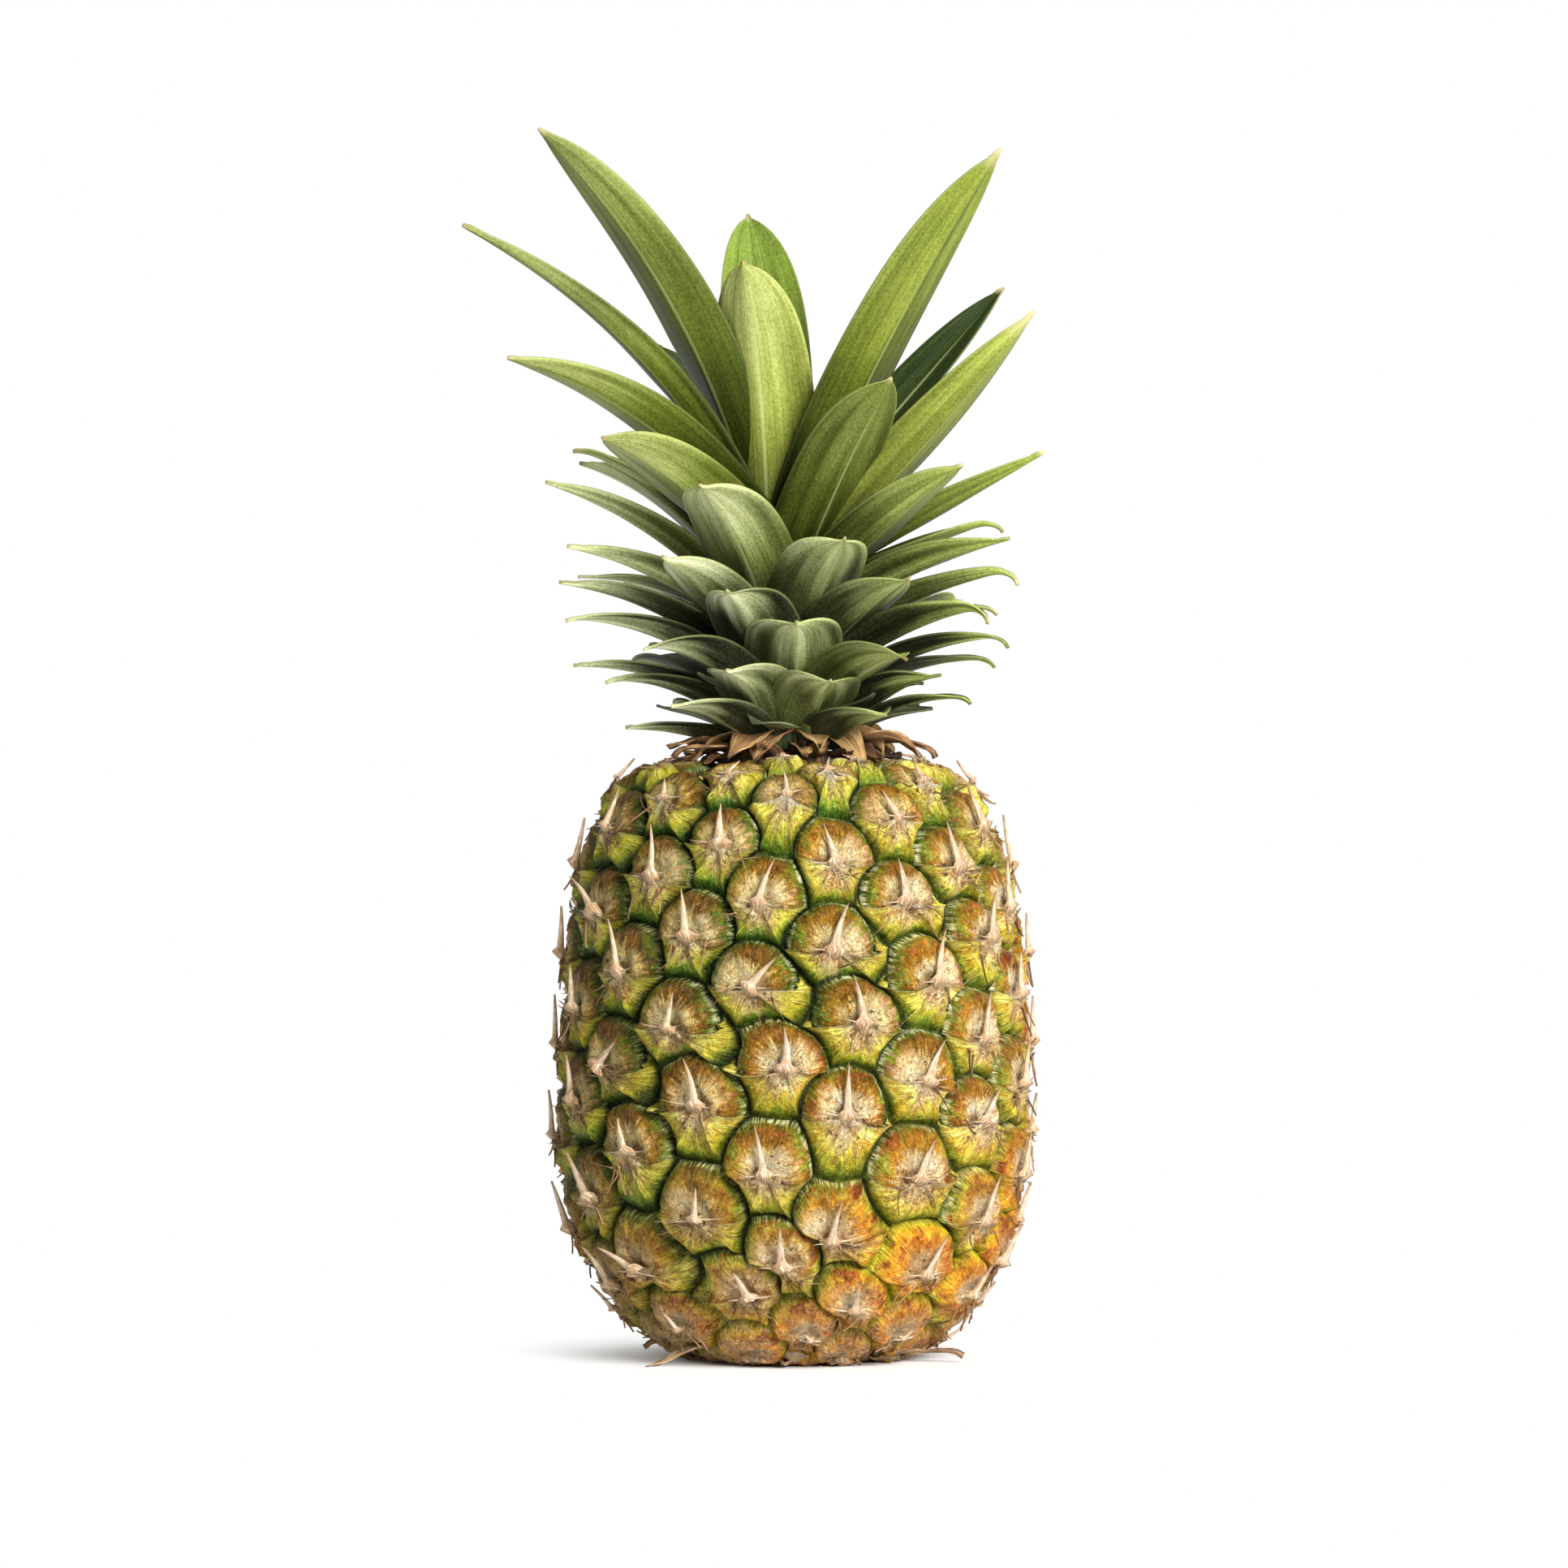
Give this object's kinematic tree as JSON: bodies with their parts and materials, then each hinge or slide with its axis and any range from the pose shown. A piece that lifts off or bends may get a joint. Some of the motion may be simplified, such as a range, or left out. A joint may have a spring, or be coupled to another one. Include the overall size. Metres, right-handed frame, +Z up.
{
  "type": "pineapple",
  "caption": "Whole ripe pineapple standing upright: barrel fruit of raised eyes with dry bract tips, and a crown of stiff pointed leaves.",
  "frame": {"origin": "centre of the flat underside the fruit stands on, on the fruit's axis", "axes": "+Z up along the fruit's axis, -Y towards the front seen in the picture, +X to the right"},
  "size_m": [0.1473, 0.1248, 0.3122],
  "materials": {
    "rind": "satin",
    "cut_stalk": "matte",
    "dry_bract": "matte",
    "crown_stem": "matte",
    "leaf_upper": "satin",
    "leaf_lower": "satin"
  },
  "bodies": {
    "root": {"fruit": "rind", "stalk_end": "cut_stalk", "crown_collar": "dry_bract", "crown_stem": "crown_stem", "leaf_left_tall": "leaf_upper", "leaf_left_long": "leaf_upper", "leaf_front_tall": "leaf_upper", "leaf_back_tall": "leaf_upper", "leaf_right_tall": "leaf_upper", "leaf_right_dark": "leaf_upper", "leaf_right_long": "leaf_upper", "leaf_front_right": "leaf_upper", "leaf_right_fold": "leaf_upper", "leaf_right_1": "leaf_upper", "leaf_right_2": "leaf_upper", "leaf_right_3": "leaf_lower", "leaf_right_4": "leaf_lower", "leaf_right_5": "leaf_lower", "leaf_right_6": "leaf_lower", "leaf_right_7": "leaf_lower", "leaf_right_8": "leaf_lower", "leaf_right_9": "leaf_lower", "leaf_front_1": "leaf_lower", "leaf_front_2": "leaf_lower", "leaf_front_3": "leaf_lower", "leaf_front_4": "leaf_lower", "leaf_front_5": "leaf_lower", "leaf_front_6": "leaf_lower", "leaf_front_7": "leaf_lower", "leaf_front_8": "leaf_lower", "leaf_front_9": "leaf_lower", "leaf_front_10": "leaf_lower", "leaf_left_1": "leaf_upper", "leaf_left_2": "leaf_upper", "leaf_left_3": "leaf_upper", "leaf_left_4": "leaf_upper", "leaf_left_5": "leaf_lower", "leaf_left_6": "leaf_lower", "leaf_left_7": "leaf_lower", "leaf_left_8": "leaf_lower", "leaf_left_9": "leaf_lower", "leaf_left_10": "leaf_lower", "leaf_left_11": "leaf_lower", "leaf_left_12": "leaf_lower", "leaf_left_13": "leaf_lower", "leaf_left_dark": "leaf_upper", "leaf_back_thin": "leaf_upper", "leaf_left_thin": "leaf_lower", "leaf_back_1": "leaf_upper", "leaf_back_2": "leaf_upper", "leaf_back_3": "leaf_upper", "leaf_back_4": "leaf_upper", "leaf_back_5": "leaf_lower", "leaf_back_6": "leaf_lower", "leaf_back_7": "leaf_lower", "leaf_back_8": "leaf_lower", "leaf_back_9": "leaf_lower", "leaf_back_10": "leaf_lower", "leaf_back_11": "leaf_lower", "leaf_back_12": "leaf_lower"}
  },
  "joints": []
}
